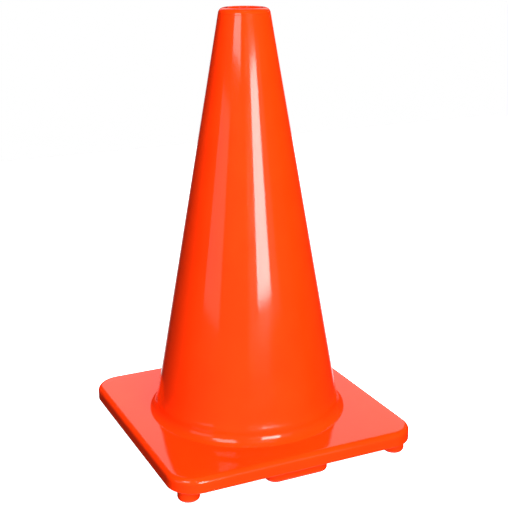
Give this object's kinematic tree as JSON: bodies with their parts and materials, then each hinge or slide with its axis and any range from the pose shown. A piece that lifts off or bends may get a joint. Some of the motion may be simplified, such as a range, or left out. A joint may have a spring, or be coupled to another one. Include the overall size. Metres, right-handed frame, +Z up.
{
  "type": "traffic cone",
  "caption": "Hollow orange safety cone with an open tip and a flared foot, snapped into a square weighted base that stands on short round feet and bar feet.",
  "frame": {"origin": "on the floor under the middle of the cone: the middle of the feet's soles", "axes": "+Z up along the cone's axis, X and Y along the sides of the square base, -Y the front side"},
  "size_m": [0.273, 0.273, 0.4572],
  "materials": {
    "orange_pvc": "gloss",
    "recycled_pvc": "matte"
  },
  "bodies": {
    "root": {"cone_body": "orange_pvc", "base_cover": "orange_pvc", "base_ballast": "recycled_pvc", "corner_foot_front_left": "orange_pvc", "corner_foot_front_right": "orange_pvc", "corner_foot_back_left": "orange_pvc", "corner_foot_back_right": "orange_pvc", "side_foot_front": "orange_pvc", "side_foot_right": "orange_pvc", "side_foot_back": "orange_pvc", "side_foot_left": "orange_pvc"}
  },
  "joints": []
}
